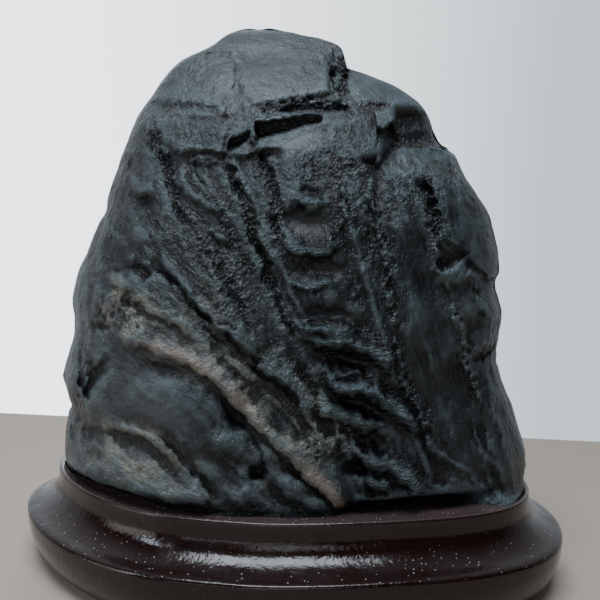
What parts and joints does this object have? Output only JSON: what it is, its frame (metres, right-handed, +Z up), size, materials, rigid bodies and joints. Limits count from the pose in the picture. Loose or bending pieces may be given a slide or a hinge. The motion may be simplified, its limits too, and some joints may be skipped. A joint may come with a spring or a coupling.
{
  "type": "suseok viewing stone on a wooden stand",
  "caption": "Upright dark river stone with a ledged cap, furrows and a pale vein, resting in the fitted recess of a low oval lacquered wooden stand",
  "frame": {"origin": "middle of the stand's flat underside, on the surface it stands on; the middle of the part's box seen from above", "axes": "+X along the stand's long axis, to the viewer's right; +Y from the viewer's side to the back, the shortest extent; +Z up"},
  "size_m": [0.231, 0.1514, 0.2275],
  "materials": {
    "stone": "water-worn slate-like stone, hand-rubbed to a dull sheen, with rough pitted veins and a tan streak",
    "lacquered_wood": "dark red-brown glossy lacquer over turned and carved wood"
  },
  "bodies": {
    "root": {"stone": "stone", "stand": "lacquered_wood"}
  },
  "joints": []
}
